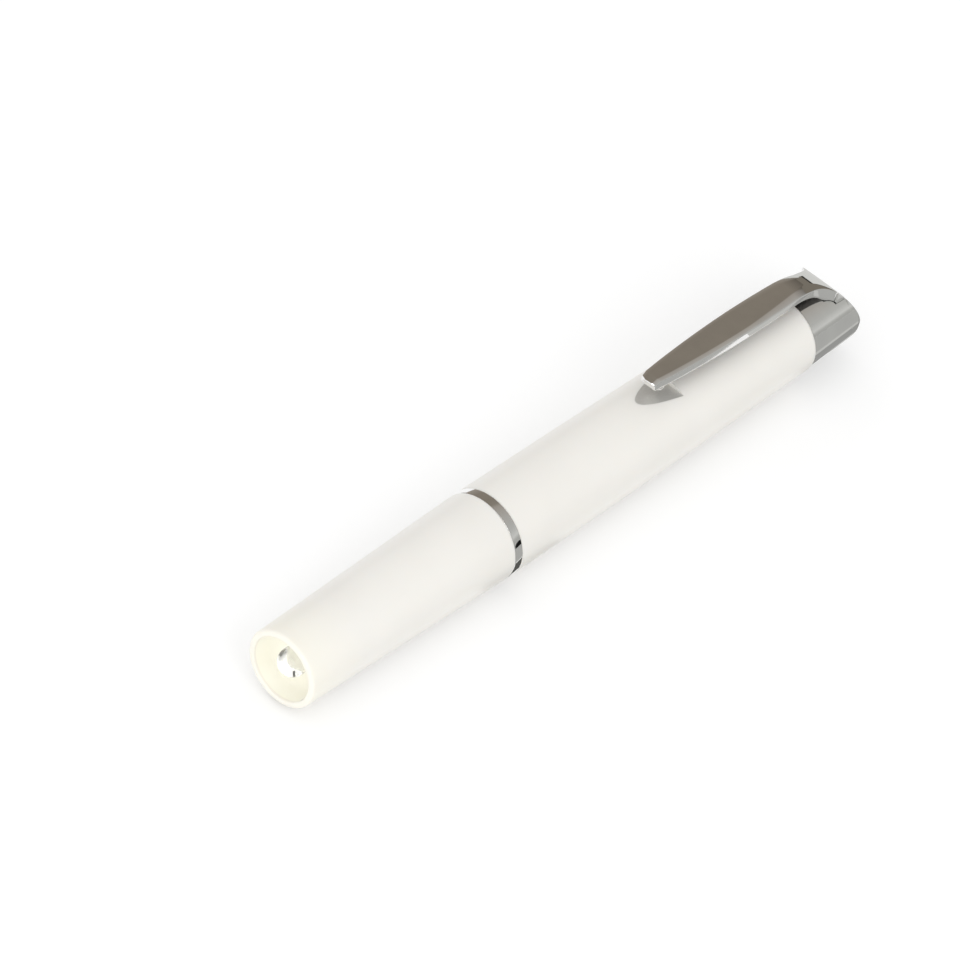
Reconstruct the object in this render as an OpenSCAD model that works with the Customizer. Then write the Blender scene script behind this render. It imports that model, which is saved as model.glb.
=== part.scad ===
// Penlight with a press-to-light pocket clip. It lies along +X with the lamp end's rim at the
// origin, the tail cap at the far end and the clip up (+Z). Lengths are in millimetres.

/* [Outline] */
// Length of the white nose, from its rim to the trim ring
nose_len = 46.7; // [44:0.1:52]
// Width of the bright trim ring
ring_w = 1.8; // [1:0.1:4]
// Length of the tail cap on the side away from the clip
cap_len = 13; // [12.4:0.1:15]
// Wall of the nose at its rim, round the mouth
rim_wall = 1.2; // [1:0.05:2]
// Wall of the trim ring, the widest place, round the thread
ring_wall = 1.55; // [1.3:0.05:2.4]
// Wall of the barrel at the tail cap
tail_wall = 1.38; // [1.3:0.01:2]
// How far the barrel swells past a straight taper, on the radius
barrel_swell = 0.14; // [0:0.01:0.4]
// Rounding of the nose's rim
rim_round = 0.6; // [0.2:0.05:0.8]
// Small edge break on the ring, the barrel's ends and the nose's back edge
edge_break = 0.15; // [0.05:0.01:0.25]

/* [Tail cap] */
// Step from the barrel down to the cap's foot, on the radius
cap_step = 0.05; // [0:0.01:0.2]
// Diameter that the cap tapers to at its top
cap_top_d = 13.2; // [12.6:0.1:14]
// Rounding of the cap's top edge
cap_round = 1.5; // [0.5:0.1:2]
// Wall of the cap
cap_wall = 0.9; // [0.6:0.05:1.2]
// Radius of the sweep that forms the cap's top and the back of the clip
sweep_r = 15.9; // [14:0.1:18]
// Height of the clip's back above the barrel's end, where the sweep ends
clip_rise = 4.55; // [4.2:0.05:6]

/* [Clip] */
// Thickness of the clip
clip_t = 1.9; // [1.2:0.1:2.4]
// Thickness of the clip where its arch ends at the eye
clip_root_t = 3; // [2.2:0.1:3.6]
// Width of the clip at its widest place
clip_w = 5.6; // [4:0.1:7]
// Width of the clip at its tip
clip_tip_w = 3.2; // [2:0.1:3.8]
// Length of the clip's straight blade
clip_len = 34.2; // [26:0.1:44]
// Distance from the tip to the widest place
clip_belly = 24.9; // [20:0.1:30]
// Width of the clip's root between the cap's cheeks
root_w = 7.8; // [6.6:0.1:8.4]
// How far behind the cap's foot the clip starts to flare out to its root
flare_in = 2.5; // [1.5:0.1:3.5]
// Length of the flare
flare_len = 5; // [3:0.1:6]
// Angle at which the blade leans out towards its tip
clip_lean = 0.86; // [0:0.02:2]
// Radius of the eye at the clip's root
eye_r = 2.3; // [1.6:0.1:2.6]
// Angle round the sweep at which the eye sits, from the pen's axis
eye_angle = 30; // [26:0.5:36]
// Diameter of the cross pin in the eye
pin_d = 1.4; // [1:0.1:1.8]
// Gap between the clip and its slot in the cap
slot_gap = 0.16; // [0.1:0.01:0.3]
// Diameter of the ball under the clip's tip
ball_d = 3; // [2:0.1:3.4]
// Distance from the clip's tip to the ball's centre
ball_in = 2.9; // [2.4:0.1:4]
// Drop from the clip's underside to the ball's lowest point
ball_drop = 2.2; // [1.8:0.05:2.4]

/* [Contact pad] */
// Length of the slanting notch along the barrel
notch_len = 8.2; // [7:0.1:10]
// Depth of the notch at its square end
notch_depth = 0.75; // [0.5:0.05:0.9]
// How far the square end lies behind the ball's centre
notch_back = 3.5; // [2.5:0.1:5]
// Thickness of the contact pad
pad_t = 0.5; // [0.3:0.05:0.6]
// Diameter of the stem from the pad to the barrel's liner
stem_d = 1.6; // [1:0.1:2.2]

/* [Cells] */
// Diameter of a cell over its jacket
cell_d = 10.4; // [10:0.05:10.5]
// Length of a cell with its nub
cell_len = 44.5; // [43.3:0.1:44.5]
// Thickness of a cell's jacket
jacket_t = 0.2; // [0.1:0.05:0.3]
// Diameter of the nub at a cell's plus end
nub_d = 3.8; // [3:0.1:4.4]
// Height of the nub
nub_h = 1; // [0.8:0.1:1.4]
// Diameter of the base plate at a cell's minus end
base_d = 6.4; // [5:0.1:7]

/* [Tubes] */
// Wall of the barrel liner and the nose liner
liner_t = 0.3; // [0.2:0.05:0.4]
// Clearance of the cells in the tubes, on the radius
cell_gap = 0.25; // [0.1:0.05:0.3]
// Wall of the thread spigot
spigot_t = 0.9; // [0.7:0.05:1.1]
// Length of the spigot that the nose screws onto
spigot_out = 7.5; // [6:0.1:9]
// Length of the spigot inside the barrel
spigot_in = 7.5; // [5:0.1:10]
// Running clearance between the spigot and the nose, on the radius
thread_gap = 0.1; // [0.05:0.01:0.15]

/* [Lamp] */
// Diameter of the mouth in the rim
mouth_d = 11.7; // [11.3:0.1:12]
// Diameter of the lamp
lamp_d = 5; // [3:0.1:5.4]
// Length of the lamp, from the tip of its dome to its back
lamp_len = 8.7; // [7.4:0.1:9.4]
// How far the lamp's tip lies behind the rim
lamp_in = 0.3; // [0.2:0.1:1.5]
// How far the dish's lip lies behind the rim
dish_in = 0.5; // [0.2:0.1:1]
// Depth of the dish, from its lip to its floor
dish_depth = 4.4; // [3:0.1:5]
// Wall of the dish at its lip
dish_lip = 0.3; // [0.2:0.05:0.5]
// Distance from the rim to the lamp board
board_in = 12; // [11.6:0.1:13]
// Thickness of the lamp board
board_t = 1; // [0.6:0.1:1.6]
// Distance from the rim to the front cell's nub
cell_in = 21; // [19:0.1:21.4]

/* [Springs] */
// Room for the tail spring, from the rear cell to its seat: the barrel's length follows from it
tail_room = 9; // [7:0.1:12]
// Wire of the tail spring
tail_wire = 0.6; // [0.4:0.05:0.8]
// Turns of the tail spring
tail_turns = 5; // [3:0.5:6]
// Wire of the lamp spring
lamp_wire = 0.45; // [0.3:0.05:0.6]
// Turns of the lamp spring
lamp_turns = 4.5; // [3:0.5:5]

/* [Hidden] */
$fn = 180;

// How far a cut runs past the surface that it cuts
overrun = 1;
// Seating clearance of pressed pieces, on the radius
seat_gap = 0.02;
// Facets of the long plan arcs
arc_facets = 1440;
// Steps in a turned edge rounding, and in the barrel's swell
round_steps = 6;
swell_steps = 12;
// Steps in each arc of the clip's side view
clip_steps = 36;
// Steps in each side of the clip's plan, and in its flare
plan_steps = 24;
flare_steps = 12;

// Radii of the tubes round the cells, from the cells out
cell_r = cell_d / 2;
tube_r = cell_r + cell_gap;
liner_r = tube_r + liner_t;
bore_r = liner_r + seat_gap;
spigot_r = tube_r + spigot_t;
thread_r = spigot_r + thread_gap;
// Outside diameters at the rim, the trim ring and the barrel's end
rim_d = mouth_d + 2 * rim_wall;
ring_d = 2 * (thread_r + ring_wall);
tail_d = 2 * (bore_r + tail_wall);

// Places of the cells, and of the seat behind them
front_cell_x = cell_in;
rear_cell_x = front_cell_x + cell_len;
cells_end = rear_cell_x + cell_len;
tail_seat = cells_end + tail_room;
seal_h = 0.4;
base_h = 0.4;
crimp_w = 0.7;
// Carrier that fills the cap's cavity, with its plug in the barrel and its recess for the spring
carrier_plug = 5;
carrier_recess = 2;
recess_wall = 1.2;

// Stations along the pen: the barrel is as long as the cells and the spring need
barrel_x = nose_len + ring_w;
cap_x = tail_seat - carrier_recess + carrier_plug;
end_x = cap_x + cap_len;
barrel_len = cap_x - barrel_x;

// Centre of the sweep, and the clip's line from it
clip_top_z = tail_d / 2 + clip_rise;
sweep_x = end_x - sweep_r;
sweep_z = clip_top_z - sweep_r;
lean_angle = 90 - clip_lean;
clip_turn_x = sweep_x + sweep_r * cos(lean_angle);
clip_turn_z = sweep_z + sweep_r * sin(lean_angle);
clip_tip_x = clip_turn_x - clip_len * cos(clip_lean);
// Arc under the arch: it leaves the blade's underside, and its centre lies out of the sweep's, so
// that the arch grows thicker towards the eye
under_shift = (clip_root_t - clip_t) / (1 - cos(lean_angle - eye_angle));
under_x = sweep_x + under_shift * cos(lean_angle);
under_z = sweep_z + under_shift * sin(lean_angle);
clip_in_r = sweep_r - clip_t - under_shift;
// Place of the eye and its pin, with the eye touching the sweep from inside
eye_x = sweep_x + (sweep_r - eye_r) * cos(eye_angle);
eye_z = sweep_z + (sweep_r - eye_r) * sin(eye_angle);
pin_gap = 0.06;
pin_len_share = 0.7;
pin_len = cap_top_d * pin_len_share;
// Plan of the clip: one long arc down each side, and the flare to its root
belly_x = clip_tip_x + clip_belly;
belly_drop = (clip_w - clip_tip_w) / 2;
side_r = (clip_belly * clip_belly + belly_drop * belly_drop) / (2 * belly_drop);
flare_x = cap_x + flare_in;
tip_round_share = 1.2;
tip_bevel_share = 0.3;
ball_x = clip_tip_x + ball_in;
ball_z = ball_d / 2 - clip_t - ball_drop;
shank_d = ball_d / 2;
shank_h = clip_t / 2;

// The notch's two ends, and the plane between them
notch_x1 = ball_x + notch_back;
notch_x0 = notch_x1 - notch_len;
notch_z0 = barrel_r(notch_x0);
notch_z1 = barrel_r(notch_x1) - notch_depth;
stem_top = notch_z1 - pad_t / 2 - liner_r;
notch_half_w = sqrt(pow(barrel_r(notch_x1), 2) - pow(notch_z1, 2));
pad_steps = 12;

// Radii of the cap's foot and top
cap_r = tail_d / 2 - cap_step;
cap_top_r = cap_top_d / 2;

// Lamp places
lamp_r = lamp_d / 2;
lamp_back = lamp_in + lamp_len;
lamp_flange_t = 1;
lamp_flange_lip = 0.4;
lamp_flange_r = lamp_r + lamp_flange_lip;
lamp_fit = 0.05;
mouth_r = mouth_d / 2;
dish_back = lamp_back - lamp_flange_t;
web_t = 1.2;
neck_r_share = 0.72;
neck_r = mouth_r * neck_r_share;
lead_d = 0.5;
lead_pitch = 2.54;
contact_r_share = 0.8;
contact_r = lamp_r * contact_r_share;
contact_t = 1;
contact_x = board_in + board_t;

// Springs: rings in each turn, sides of the wire, and the coils' radii
coil_rings = 12;
coil_sides = 6;
tail_r0 = base_d / 2 - tail_wire / 2;
tail_r1 = cell_r - recess_wall - tail_wire;
lamp_coil_r = nub_d / 2 - lamp_wire / 2;
lamp_seat = contact_x + contact_t;

echo(tail_spring_least_gap = coil_gap(coil_path(cells_end, tail_seat, tail_r0, tail_r1, tail_turns,
    tail_wire)) - tail_wire);
echo(lamp_spring_least_gap = coil_gap(coil_path(lamp_seat, front_cell_x, lamp_coil_r, lamp_coil_r,
    lamp_turns, lamp_wire)) - lamp_wire);

// Radius of the nose at a station
function nose_r(x) = (rim_d + (ring_d - rim_d) * x / nose_len) / 2;

// Radius of the barrel at a station, with its swell
function barrel_r(x) = let (share = (x - barrel_x) / barrel_len)
    (ring_d + (tail_d - ring_d) * share) / 2 + barrel_swell * 4 * share * (1 - share);

// Radius of the cap's side at a station
function cap_side_r(x) = cap_r + (cap_top_r - cap_r) * (x - cap_x) / cap_len;

// Height of the straight blade's back at a station
function clip_back_z(x) = clip_turn_z + (clip_turn_x - x) * tan(clip_lean);

// Half the width of the clip's blade at a station
function blade_half(x) = clip_w / 2 - side_r + sqrt(side_r * side_r - pow(x - belly_x, 2));

// A point of the blade's side view: so far from the turn, and so far below the back
function blade_point(out, below) = [clip_turn_x, clip_turn_z]
    + out * [-cos(clip_lean), sin(clip_lean)] - below * [sin(clip_lean), cos(clip_lean)];

// Points round an arc, from one angle to another
function arc(centre, r, from, to, steps = round_steps) =
    [for (i = [0 : steps]) let (a = from + (to - from) * i / steps) centre + r * [cos(a), sin(a)]];

// Centre line of a coil along X whose radius runs evenly from r0 to r1
function coil_path(x0, x1, r0, r1, turns, wire) =
    let (steps = turns * coil_rings, lift = wire / 2 + seat_gap)
    [for (i = [0 : steps]) let (share = i / steps, a = 360 * turns * share, r = r0 + (r1 - r0) * share)
        [x0 + lift + (x1 - x0 - 2 * lift) * share, r * cos(a), r * sin(a)]];

// Least distance between points of a coil that are over half a turn apart
function coil_gap(path) = min([for (i = [0 : len(path) - 1], j = [i + 1 : len(path) - 1])
    if (j - i > coil_rings / 2) norm(path[j] - path[i])]);

// A solid turned about the pen's axis from an outline of [radius, station] points
module turned() {
    rotate([0, 90, 0])
        rotate_extrude()
            children();
}

// A plain tube along the pen's axis
module tube(x0, x1, r_out, r_in) {
    turned()
        polygon([[r_in, x0], [r_out, x0], [r_out, x1], [r_in, x1]]);
}

// A side view in [station, height] drawn out across the pen
module across(width) {
    rotate([90, 0, 0])
        linear_extrude(width, center = true)
            children();
}

// A round wire swept along a path, closed at both ends
module wire_along(path, wire) {
    last = len(path) - 1;
    rings = [for (i = [0 : last])
        let (
            run = path[min(i + 1, last)] - path[max(i - 1, 0)],
            ahead = run / norm(run),
            out = cross(ahead, [1, 0, 0]),
            side = out / norm(out),
            up = cross(side, ahead)
        )
        [for (k = [0 : coil_sides - 1]) let (a = 360 * k / coil_sides)
            path[i] + wire / 2 * (cos(a) * side + sin(a) * up)]];
    points = [for (ring = rings) each ring];
    walls = [for (i = [0 : last - 1], k = [0 : coil_sides - 1])
        let (a = i * coil_sides + k, b = i * coil_sides + (k + 1) % coil_sides)
        each [[a, b, b + coil_sides], [a, b + coil_sides, a + coil_sides]]];
    ends = [for (k = [1 : coil_sides - 2])
        each [[0, k + 1, k], [0, k, k + 1] + last * coil_sides * [1, 1, 1]]];
    polyhedron(points, concat(walls, ends));
}

// Cuts its children to the clip's plan, wider by a gap on each side
module in_clip_plan(gap = 0) {
    intersection() {
        intersection() {
            children();
            upright()
                plan_sides(gap);
        }
        upright()
            plan_tip(gap);
    }
}

// A plan drawn up and down past the whole pen
module upright() {
    linear_extrude(2 * (clip_top_z + ring_d), center = true)
        children();
}

// The clip's plan between its two sides: the long arcs of the blade, then the flare out to the root
module plan_sides(gap) {
    start = clip_tip_x - overrun;
    run = flare_x - gap - start;
    waist = blade_half(flare_x);
    side = concat(
        [for (i = [0 : plan_steps]) let (x = start + run * i / plan_steps) [x, blade_half(x) + gap]],
        [for (i = [1 : flare_steps]) let (a = 90 * i / flare_steps)
            [flare_x - gap + flare_len * sin(a), waist + (root_w / 2 - waist) * (1 - cos(a)) + gap]],
        [[end_x + overrun, root_w / 2 + gap]]);
    polygon(concat(side, [for (i = [len(side) - 1 : -1 : 0]) [side[i][0], -side[i][1]]]));
}

// The clip's plan behind its rounded tip
module plan_tip(gap) {
    tip_r = clip_tip_w * tip_round_share;
    translate([clip_tip_x + tip_r, 0])
        circle(tip_r + gap);
    translate([clip_tip_x + tip_r, -ring_d])
        square([end_x, 2 * ring_d]);
}

// Side view of the clip: the arch along the sweep, the straight blade with the small bevel at its
// tip, and back under the arch to the eye at the root
module clip_side() {
    bevel = clip_t * tip_bevel_share;
    sweep = [sweep_x, sweep_z];
    under = [under_x, under_z];
    to_eye = [eye_x, eye_z] - under;
    eye_out = norm(to_eye);
    eye_turn = atan2(to_eye[1], to_eye[0]);
    squares = clip_in_r * clip_in_r - eye_out * eye_out;
    under_end = acos((squares + 2 * eye_out * eye_out - eye_r * eye_r) / (2 * clip_in_r * eye_out));
    eye_start = acos((squares - eye_r * eye_r) / (2 * eye_out * eye_r));
    eye = arc([eye_x, eye_z], eye_r, eye_turn + eye_start, eye_angle + 360, clip_steps);
    polygon(concat(
        arc(sweep, sweep_r, eye_angle, lean_angle, clip_steps),
        [blade_point(clip_len - 2 * bevel, 0), blade_point(clip_len + overrun, bevel + overrun / 2),
            blade_point(clip_len + overrun, clip_t)],
        arc(under, clip_in_r, lean_angle, eye_turn + under_end, clip_steps),
        [for (i = [1 : clip_steps - 1]) eye[i]]));
}

// Slot that the clip's root passes through, an even gap larger than the root
module clip_slot() {
    in_clip_plan(slot_gap)
        across(2 * clip_w)
            union() {
                translate([eye_x, eye_z])
                    circle(eye_r + slot_gap);
                difference() {
                    translate([sweep_x, eye_z])
                        square(sweep_r + overrun);
                    translate([under_x, under_z])
                        circle(clip_in_r - slot_gap);
                    slot_floor();
                }
            }
}

// What stays solid past the end of the slot, beyond the eye
module slot_floor() {
    translate([eye_x, eye_z])
        rotate(eye_angle)
            translate([0, -sweep_r])
                square([sweep_r, sweep_r]);
}

// Outline of the cap's outside, or of its cavity when drawn in by a wall
module cap_outline(wall = 0) {
    r0 = cap_r - wall;
    r1 = cap_top_r - wall;
    corner = cap_round - min(wall, cap_round / 2);
    top = end_x - wall;
    polygon(concat([[0, cap_x], [r0, cap_x]],
        arc([r1 - corner, top - corner], corner, 0, 90), [[0, top]]));
}

// The cap's outer form, or its cavity's form when drawn in by a wall
module cap_form(wall = 0) {
    intersection() {
        turned()
            cap_outline(wall);
        across(2 * tail_d)
            translate([sweep_x, sweep_z])
                circle(sweep_r - wall, $fn = arc_facets);
    }
}

// Side view of the notch's floor, drawn down by a depth
module notch_slab(depth) {
    polygon([[notch_x0, notch_z0], [notch_x1, notch_z1], [notch_x1, notch_z1 - depth],
        [notch_x0, notch_z0 - depth]]);
}

// Plan of the notch's floor: it widens as the slanting plane cuts deeper into the barrel
module notch_plan() {
    half = [for (i = [0 : pad_steps]) let (share = i / pad_steps)
        [notch_x0 + notch_len * share * share, notch_half_w * share]];
    polygon(concat(half, [for (i = [pad_steps : -1 : 1]) [half[i].x, -half[i].y]]));
}

// The pad's body: a slab under the notch's floor
module pad_form() {
    intersection() {
        across(tail_d)
            notch_slab(pad_t);
        linear_extrude(ring_d)
            notch_plan();
    }
}

// Place of the pad's stem, and the stem down to the liner
module pad_stem(length) {
    translate([notch_x1 - stem_d, 0, liner_r])
        cylinder(d = stem_d, h = length);
}

module nose_shell() {
    slope = atan((ring_d - rim_d) / 2 / nose_len);
    corner_r = rim_d / 2 - rim_round;
    color("ivory")
        turned()
            polygon(concat(
                [[mouth_r, 0]],
                arc([corner_r, rim_round], rim_round, -90, -slope),
                [[nose_r(nose_len - edge_break), nose_len - edge_break],
                    [ring_d / 2 - edge_break, nose_len],
                    [thread_r, nose_len],
                    [thread_r, barrel_x - spigot_out],
                    [bore_r, barrel_x - spigot_out],
                    [bore_r, dish_back + lamp_flange_t + web_t],
                    [neck_r + lamp_fit, dish_back + lamp_flange_t + web_t],
                    [neck_r + lamp_fit, dish_back + lamp_flange_t],
                    [mouth_r, dish_back + lamp_flange_t]]));
}

module lamp_dish() {
    lip_r = mouth_r - seat_gap - dish_lip;
    hole_r = lamp_r + lamp_fit;
    bowl_w = lip_r - hole_r;
    bowl_r = (bowl_w * bowl_w + dish_depth * dish_depth) / (2 * dish_depth);
    bowl_end = asin(bowl_w / bowl_r);
    bowl_centre = [hole_r, dish_in + dish_depth - bowl_r];
    color("cornsilk")
        turned()
            polygon(concat(
                [[mouth_r - seat_gap, dish_in], [mouth_r - seat_gap, dish_back], [hole_r, dish_back]],
                arc(bowl_centre, bowl_r, 90, 90 - bowl_end, swell_steps)));
}

module lamp_dome() {
    tube_x = lamp_in + lamp_r;
    flange_x = lamp_back - lamp_flange_t;
    color("white", 0.4)
        turned()
            polygon(concat(
                [[0, lamp_in]],
                [for (p = arc([0, tube_x], lamp_r, -90, 0, swell_steps)) if (p.x > seat_gap) p],
                [[lamp_r, flange_x], [lamp_flange_r, flange_x], [lamp_flange_r, lamp_back], [0, lamp_back]]));
}

module lamp_frame() {
    color("silver")
        for (side = [-1, 1])
            translate([lamp_back, side * lead_pitch / 2, 0])
                rotate([0, 90, 0])
                    cylinder(d = lead_d, h = board_in - lamp_back);
}

module lamp_holder() {
    pocket_r = lamp_flange_r + lamp_fit;
    flange_end = dish_back + lamp_flange_t;
    color("dimgray")
        difference() {
            turned()
                polygon([[pocket_r, dish_back], [mouth_r - seat_gap, dish_back],
                    [mouth_r - seat_gap, flange_end], [neck_r, flange_end], [neck_r, board_in],
                    [0, board_in], [0, lamp_back], [pocket_r, lamp_back]]);
            for (side = [-1, 1])
                translate([lamp_back - overrun, side * lead_pitch / 2, 0])
                    rotate([0, 90, 0])
                        cylinder(d = lead_d + 2 * seat_gap, h = board_in - lamp_back + 2 * overrun);
        }
}

module lamp_board() {
    color("darkgreen")
        tube(board_in, contact_x, liner_r, 0);
}

module lamp_contact() {
    color("goldenrod")
        tube(contact_x, lamp_seat, contact_r, 0);
}

module lamp_spring() {
    color("lightgray")
        wire_along(coil_path(lamp_seat, front_cell_x, lamp_coil_r, lamp_coil_r, lamp_turns, lamp_wire),
            lamp_wire);
}

module nose_liner() {
    color("goldenrod")
        tube(contact_x, barrel_x - spigot_out, liner_r, tube_r);
}

module trim_ring() {
    r = ring_d / 2;
    color("silver")
        turned()
            polygon(concat(
                [[thread_r, nose_len]],
                arc([r - edge_break, nose_len + edge_break], edge_break, -90, 0),
                arc([r - edge_break, barrel_x - edge_break], edge_break, 0, 90),
                [[thread_r, barrel_x]]));
}

module barrel_shell() {
    body_len = barrel_len - 2 * edge_break;
    body_x = barrel_x + edge_break;
    spigot_end = barrel_x + spigot_in;
    color("ivory")
        difference() {
            turned()
                polygon(concat(
                    [[spigot_r + seat_gap, barrel_x], [ring_d / 2 - edge_break, barrel_x]],
                    [for (i = [0 : swell_steps]) let (x = body_x + body_len * i / swell_steps)
                        [barrel_r(x), x]],
                    [[tail_d / 2 - edge_break, cap_x], [bore_r, cap_x], [bore_r, spigot_end],
                        [spigot_r + seat_gap, spigot_end]]));
            across(tail_d)
                polygon([[notch_x0, notch_z0], [notch_x1, notch_z1],
                    [notch_x1, notch_z0 + overrun], [notch_x0, notch_z0 + overrun]]);
            pad_form();
            pad_stem(stem_top);
        }
}

module barrel_liner() {
    color("goldenrod")
        tube(barrel_x + spigot_in, cells_end - base_h - seal_h, liner_r, tube_r);
}

module thread_spigot() {
    color("darkgoldenrod")
        tube(barrel_x - spigot_out, barrel_x + spigot_in, spigot_r, tube_r);
}

module contact_pad() {
    color("gainsboro")
        union() {
            pad_form();
            pad_stem(stem_top);
        }
}

module tail_cap() {
    color("silver")
        difference() {
            cap_form();
            cap_form(cap_wall);
            clip_slot();
        }
}

module clip_carrier() {
    plug_x = cap_x - carrier_plug;
    plug_r = bore_r - seat_gap;
    recess_r = cell_r - recess_wall;
    color("peru")
        difference() {
            union() {
                cap_form(cap_wall + seat_gap);
                tube(plug_x, cap_x, plug_r, 0);
            }
            clip_slot();
            tube(plug_x - overrun, tail_seat, recess_r, 0);
            pin_form(pin_d + 2 * seat_gap, pin_len + 2 * seat_gap);
        }
}

// The cross pin's cylinder through the eye
module pin_form(d, length) {
    translate([eye_x, 0, eye_z])
        rotate([90, 0, 0])
            cylinder(d = d, h = length, center = true);
}

module clip_pin() {
    color("dimgray")
        pin_form(pin_d, pin_len);
}

module tail_spring() {
    color("lightgray")
        wire_along(coil_path(cells_end, tail_seat, tail_r0, tail_r1, tail_turns, tail_wire), tail_wire);
}

// A cell's steel can with its nub, the nub towards the lamp
module cell_can(x) {
    can_r = cell_r - jacket_t;
    turned()
        polygon([[0, x], [nub_d / 2, x], [nub_d / 2, x + nub_h], [can_r - crimp_w, x + nub_h],
            [can_r, x + nub_h + crimp_w], [can_r, x + cell_len - base_h - seal_h],
            [0, x + cell_len - base_h - seal_h]]);
}

// A cell's jacket, rolled over both ends of the can
module cell_jacket(x) {
    can_r = cell_r - jacket_t;
    back = x + cell_len - base_h;
    turned()
        polygon([[can_r - crimp_w, x + nub_h - jacket_t], [cell_r - crimp_w, x + nub_h - jacket_t],
            [cell_r, x + nub_h + crimp_w], [cell_r, back + base_h / 2],
            [cell_r - crimp_w, back + base_h / 2], [cell_r - crimp_w, back], [can_r, back],
            [can_r, x + nub_h + crimp_w], [can_r - crimp_w, x + nub_h]]);
}

// A cell's insulating ring round its base plate
module cell_seal(x) {
    can_r = cell_r - jacket_t;
    tube(x + cell_len - base_h - seal_h, x + cell_len - base_h, can_r, base_d / 2);
}

// A cell's base plate at the minus end
module cell_base(x) {
    tube(x + cell_len - base_h - seal_h, x + cell_len, base_d / 2, 0);
}

module front_cell_can() {
    color("lightsteelblue")
        cell_can(front_cell_x);
}

module front_cell_jacket() {
    color("steelblue")
        cell_jacket(front_cell_x);
}

module front_cell_seal() {
    color("white")
        cell_seal(front_cell_x);
}

module front_cell_base() {
    color("lightsteelblue")
        cell_base(front_cell_x);
}

module rear_cell_can() {
    color("lightsteelblue")
        cell_can(rear_cell_x);
}

module rear_cell_jacket() {
    color("steelblue")
        cell_jacket(rear_cell_x);
}

module rear_cell_seal() {
    color("white")
        cell_seal(rear_cell_x);
}

module rear_cell_base() {
    color("lightsteelblue")
        cell_base(rear_cell_x);
}

// Moves to the clip's back over the ball, square to the blade
module at_ball() {
    translate([ball_x, 0, clip_back_z(ball_x)])
        rotate([0, clip_lean, 0])
            children();
}

module clip() {
    color("silver")
        difference() {
            in_clip_plan()
                across(2 * clip_w)
                    clip_side();
            pin_form(pin_d + 2 * pin_gap, 2 * clip_w);
            at_ball()
                translate([0, 0, -clip_t - overrun])
                    cylinder(d = shank_d + 2 * seat_gap, h = shank_h + overrun);
        }
}

module clip_ball() {
    neck_h = -clip_t - ball_z;
    color("silver")
        at_ball()
            translate([0, 0, ball_z]) {
                difference() {
                    union() {
                        sphere(d = ball_d);
                        cylinder(d = ball_d, h = neck_h + overrun);
                    }
                    translate([0, 0, neck_h])
                        cylinder(d = 2 * ball_d, h = ball_d);
                }
                cylinder(d = shank_d, h = neck_h + shank_h);
            }
}

nose_shell();
lamp_dish();
lamp_dome();
lamp_frame();
lamp_holder();
lamp_board();
lamp_contact();
lamp_spring();
nose_liner();
trim_ring();
barrel_shell();
barrel_liner();
thread_spigot();
contact_pad();
tail_cap();
clip_carrier();
clip_pin();
tail_spring();
front_cell_can();
front_cell_jacket();
front_cell_seal();
front_cell_base();
rear_cell_can();
rear_cell_jacket();
rear_cell_seal();
rear_cell_base();
clip();
clip_ball();
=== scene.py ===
import math

import bmesh
import bpy
from mathutils import Matrix, Vector


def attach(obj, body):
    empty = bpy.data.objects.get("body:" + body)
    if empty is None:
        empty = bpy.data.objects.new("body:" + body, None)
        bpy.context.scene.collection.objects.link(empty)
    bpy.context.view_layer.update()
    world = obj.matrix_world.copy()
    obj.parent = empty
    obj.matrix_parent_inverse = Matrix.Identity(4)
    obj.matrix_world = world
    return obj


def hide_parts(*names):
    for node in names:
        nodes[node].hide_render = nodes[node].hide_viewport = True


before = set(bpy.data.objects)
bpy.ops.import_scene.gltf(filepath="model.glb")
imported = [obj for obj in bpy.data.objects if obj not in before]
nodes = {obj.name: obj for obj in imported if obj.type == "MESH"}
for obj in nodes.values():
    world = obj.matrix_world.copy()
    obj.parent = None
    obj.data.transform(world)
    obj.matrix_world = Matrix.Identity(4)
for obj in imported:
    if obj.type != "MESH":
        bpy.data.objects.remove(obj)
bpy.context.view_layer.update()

MM = 0.001

# Sizes of the part, in millimetres, as its source has them; x runs along the pen from the lamp's end
NOSE_LEN, BARREL_X, CAP_X, END_X = 46.7, 48.5, 122.0, 135.0
RIM_R, RING_R = 7.05, 8.0
MOUTH_R, NECK_R, LAMP_R, FLANGE_R = 5.85, 4.262, 2.5, 2.9
LAMP_IN, LAMP_BACK, WEB_BACK = 0.3, 9.0, 10.2
DISH_IN, DISH_DEPTH, DISH_BACK, DISH_LIP, SEAT_GAP = 0.5, 4.4, 8.0, 0.3, 0.02
TUBE_R, BORE_R, SPIGOT_R, THREAD_R = 5.45, 5.77, 6.35, 6.45
SPIGOT_X, SPIGOT_END, THREAD_PITCH = 41.0, 56.0, 1.0
SWEEP_X, SWEEP_Z, SWEEP_R = 119.1, -4.2, 15.9
CLIP_T, CLIP_ROOT_T, CLIP_W, CLIP_LEAN, CLIP_BELLY = 1.9, 3.0, 5.6, 0.86, 24.9
EYE_ANGLE, EYE_R, EYE_X, EYE_Z, PIN_R = 30.0, 2.3, 130.878, 2.6, 0.7
TIP_X, TIP_W, TIP_ROUND, TIP_BEVEL = 85.142, 3.2, 3.84, 0.57
ROOT_W, FLARE_X, FLARE_LEN = 7.8, 124.5, 5.0
CAP_R, CAP_TOP_R, CAP_ROUND, SLOT_GAP = 7.1, 6.6, 1.5, 0.16

# Sizes of the visual model alone
RIM_EDGE, MOUTH_EDGE, RING_EDGE, RING_GAP = 0.6, 0.3, 0.15, 0.02
DISH_HOLE_GAP = 0.2
THREAD_END, THREAD_DEPTH = 48.4, 0.3
POST_R, POST_EDGE, POST_IN, POST_END, POST_Y, POST_Z = 0.42, 0.12, 4.3, 8.48, -1.95, -0.35
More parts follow.
